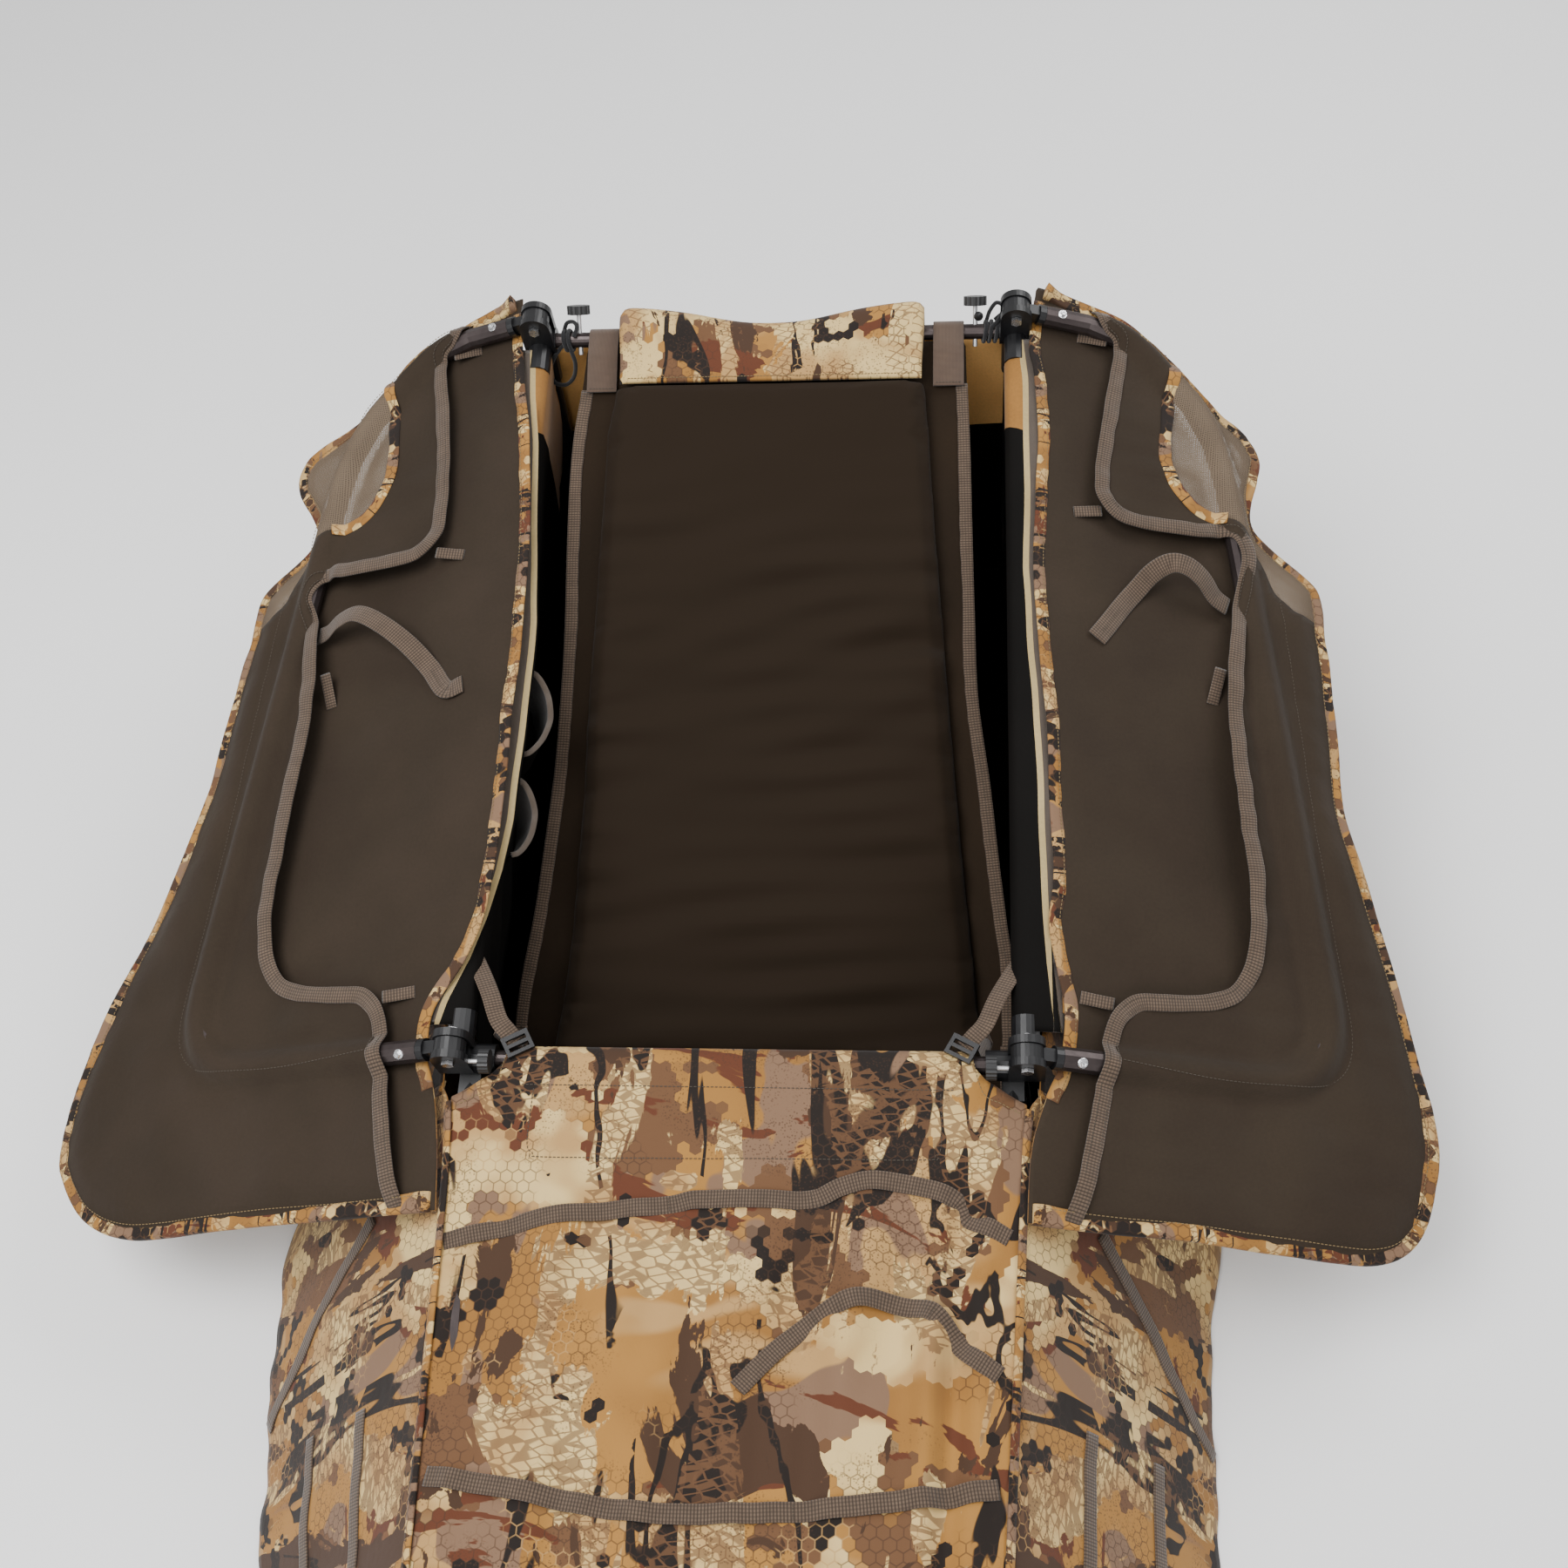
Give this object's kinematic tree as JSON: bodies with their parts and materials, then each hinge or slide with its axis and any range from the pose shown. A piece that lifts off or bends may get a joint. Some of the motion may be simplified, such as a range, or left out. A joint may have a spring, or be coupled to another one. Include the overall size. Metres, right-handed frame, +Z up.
{
  "type": "layout field blind",
  "caption": "Low reclining field blind: tube frame on telescoping legs, padded sling, camouflage foot cover and skirts, and two side doors hinged along the frame.",
  "frame": {"origin": "on the ground under the middle of the blind", "axes": "+Y towards the head end, +Z up, +X to the user's right when lying on the back with the head at +Y seen from the foot end"},
  "size_m": [1.507, 1.936, 0.5594],
  "materials": {
    "tube_finish": "dark brown anodised tube, satin",
    "black_plastic": "moulded black nylon",
    "bolt_steel": "zinc plated hinge bolts",
    "webbing": "ribbed grey-brown webbing",
    "pad_cloth": "dark brown coated polyester",
    "door_liner": "dark olive-brown coated polyester",
    "dark_cloth": "black-brown coated polyester",
    "camo_cloth": "marsh camouflage polyester in tan, cream, brown and black"
  },
  "bodies": {
    "frame": {"head_cross_tube": "tube_finish", "mid_cross_tube": "tube_finish", "foot_cross_tube": "tube_finish", "hammock_sling": "pad_cloth", "back_pad": "pad_cloth", "headrest": "camo_cloth", "floor_pan": "dark_cloth", "foot_cover": "camo_cloth", "foot_end_panel": "camo_cloth", "head_end_panel": "camo_cloth", "side_rail_left": "tube_finish", "foot_rail_left": "tube_finish", "head_connector_left": "black_plastic", "mid_connector_left": "black_plastic", "foot_connector_left": "black_plastic", "head_hinge_bolt_left": "bolt_steel", "mid_hinge_bolt_left": "bolt_steel", "head_leg_sleeve_left": "tube_finish", "foot_leg_sleeve_left": "tube_finish", "side_liner_left": "dark_cloth", "head_skirt_left": "camo_cloth", "foot_skirt_left": "camo_cloth", "sling_loop_left": "webbing", "hip_strap_left": "webbing", "strap_buckle_left": "black_plastic", "side_rail_right": "tube_finish", "foot_rail_right": "tube_finish", "head_connector_right": "black_plastic", "mid_connector_right": "black_plastic", "foot_connector_right": "black_plastic", "head_hinge_bolt_right": "bolt_steel", "mid_hinge_bolt_right": "bolt_steel", "head_leg_sleeve_right": "tube_finish", "foot_leg_sleeve_right": "tube_finish", "side_liner_right": "dark_cloth", "head_skirt_right": "camo_cloth", "foot_skirt_right": "camo_cloth", "sling_loop_right": "webbing", "hip_strap_right": "webbing", "strap_buckle_right": "black_plastic"},
    "door_left": {"door_tube_left": "tube_finish", "door_panel_left": "door_liner", "door_flap_left": "door_liner", "door_handle_left": "webbing", "door_socket_foot_left": "black_plastic", "door_socket_head_left": "black_plastic"},
    "door_right": {"door_tube_right": "tube_finish", "door_panel_right": "door_liner", "door_flap_right": "door_liner", "door_handle_right": "webbing", "door_socket_foot_right": "black_plastic", "door_socket_head_right": "black_plastic"},
    "head_knob_left": {"head_knob_left": "black_plastic"},
    "mid_knob_left": {"mid_knob_left": "black_plastic"},
    "head_leg_left": {"head_leg_left": "tube_finish"},
    "foot_leg_left": {"foot_leg_left": "tube_finish"},
    "head_knob_right": {"head_knob_right": "black_plastic"},
    "mid_knob_right": {"mid_knob_right": "black_plastic"},
    "head_leg_right": {"head_leg_right": "tube_finish"},
    "foot_leg_right": {"foot_leg_right": "tube_finish"}
  },
  "joints": [
    {"name": "door_left", "type": "hinge", "parent": "frame", "child": "door_left", "pos_m": [-0.3, -0.035, 0.34], "axis": [0, 0.9781, 0.2079], "range_deg": [0, 144]},
    {"name": "door_right", "type": "hinge", "parent": "frame", "child": "door_right", "pos_m": [0.3, -0.035, 0.34], "axis": [0, -0.9781, -0.2079], "range_deg": [0, 144]},
    {"name": "head_knob_left", "type": "hinge", "parent": "frame", "child": "head_knob_left", "pos_m": [-0.25, 0.90256, 0.49839], "axis": [0, 0.5592, 0.829], "continuous": true},
    {"name": "mid_knob_left", "type": "hinge", "parent": "frame", "child": "mid_knob_left", "pos_m": [-0.27, -0.04441, 0.32778], "axis": [1, 0, 0], "continuous": true},
    {"name": "head_leg_left", "type": "slide", "parent": "frame", "child": "head_leg_left", "axis": [0, 0, -1], "range_m": [0, 0.15]},
    {"name": "foot_leg_left", "type": "slide", "parent": "frame", "child": "foot_leg_left", "axis": [0, 0, -1], "range_m": [0, 0.09]},
    {"name": "head_knob_right", "type": "hinge", "parent": "frame", "child": "head_knob_right", "pos_m": [0.25, 0.90256, 0.49839], "axis": [0, 0.5592, 0.829], "continuous": true},
    {"name": "mid_knob_right", "type": "hinge", "parent": "frame", "child": "mid_knob_right", "pos_m": [0.27, -0.04441, 0.32778], "axis": [1, 0, 0], "continuous": true},
    {"name": "head_leg_right", "type": "slide", "parent": "frame", "child": "head_leg_right", "axis": [0, 0, -1], "range_m": [0, 0.15]},
    {"name": "foot_leg_right", "type": "slide", "parent": "frame", "child": "foot_leg_right", "axis": [0, 0, -1], "range_m": [0, 0.09]}
  ]
}
